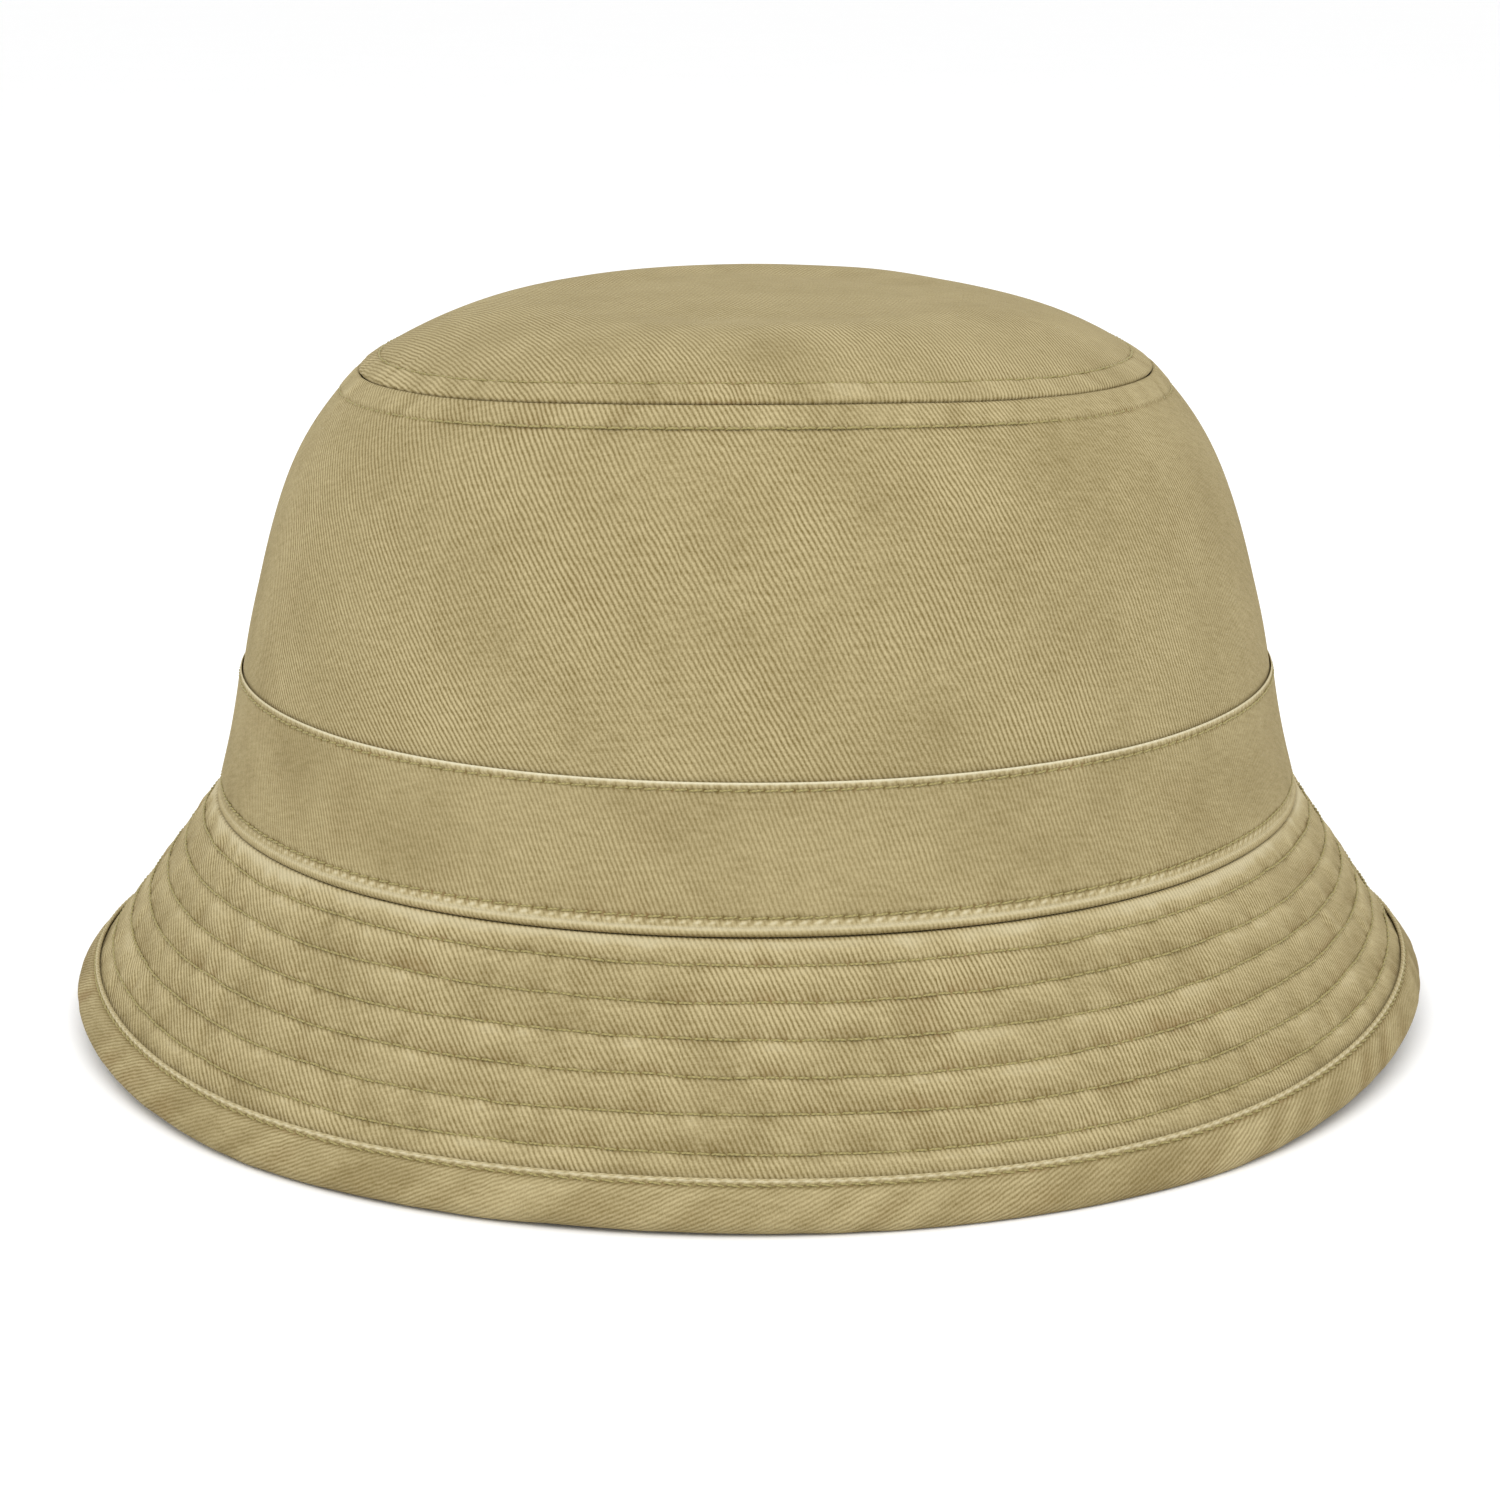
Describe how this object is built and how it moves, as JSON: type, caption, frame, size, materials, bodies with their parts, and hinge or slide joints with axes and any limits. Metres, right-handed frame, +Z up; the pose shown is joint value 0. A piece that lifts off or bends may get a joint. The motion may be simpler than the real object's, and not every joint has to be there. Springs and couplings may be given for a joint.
{
  "type": "bucket hat",
  "caption": "Soft cotton twill bucket hat with a flat-topped tapered crown, an outer band over the head seam and a sloping stitched brim with a bound edge.",
  "frame": {"origin": "on the ground in the middle of the hat, below the centre of the head opening, with the hat standing on its brim's edge", "axes": "+Z up through the crown's tip, -Y towards the front of the hat, +Y towards the back, +X towards the wearer's left, on the right as seen from the front"},
  "size_m": [0.229, 0.251, 0.119],
  "materials": {
    "crown_twill": "garment-washed khaki cotton twill, matt, steep diagonal wale",
    "band_twill": "the same twill, smoother where it lies double, with a light worn fold at its edges",
    "brim_twill": "the same twill, quilted by the rows of stitching and faded on the puffs",
    "brim_under_twill": "the same twill, less faded",
    "binding_twill": "bias-cut twill with a shallow diagonal wale",
    "sweatband_cotton": "plain soft cotton band",
    "seam_tape": "narrow cotton twill tape",
    "interlining_canvas": "stiff unbleached cotton canvas",
    "label_cotton": "plain off-white woven tab",
    "khaki_thread": "spun polyester sewing thread, slightly glossy"
  },
  "bodies": {
    "root": {"crown_tip": "crown_twill", "crown_side_front": "crown_twill", "crown_side_back": "crown_twill", "outer_band": "band_twill", "brim_top_front": "brim_twill", "brim_top_back": "brim_twill", "brim_interlining": "interlining_canvas", "brim_under_front": "brim_under_twill", "brim_under_back": "brim_under_twill", "edge_binding": "binding_twill", "sweatband": "sweatband_cotton", "tip_seam_tape": "seam_tape", "side_seam_tape_left": "seam_tape", "side_seam_tape_right": "seam_tape", "blank_label": "label_cotton", "tip_stitch_above": "khaki_thread", "tip_stitch_below": "khaki_thread", "band_stitch_top": "khaki_thread", "band_stitch_bottom": "khaki_thread", "binding_stitch": "khaki_thread", "sweatband_stitch": "khaki_thread", "brim_stitch_row_1": "khaki_thread", "brim_stitch_row_2": "khaki_thread", "brim_stitch_row_3": "khaki_thread", "brim_stitch_row_4": "khaki_thread", "brim_stitch_row_5": "khaki_thread", "brim_stitch_row_6": "khaki_thread"}
  },
  "joints": []
}
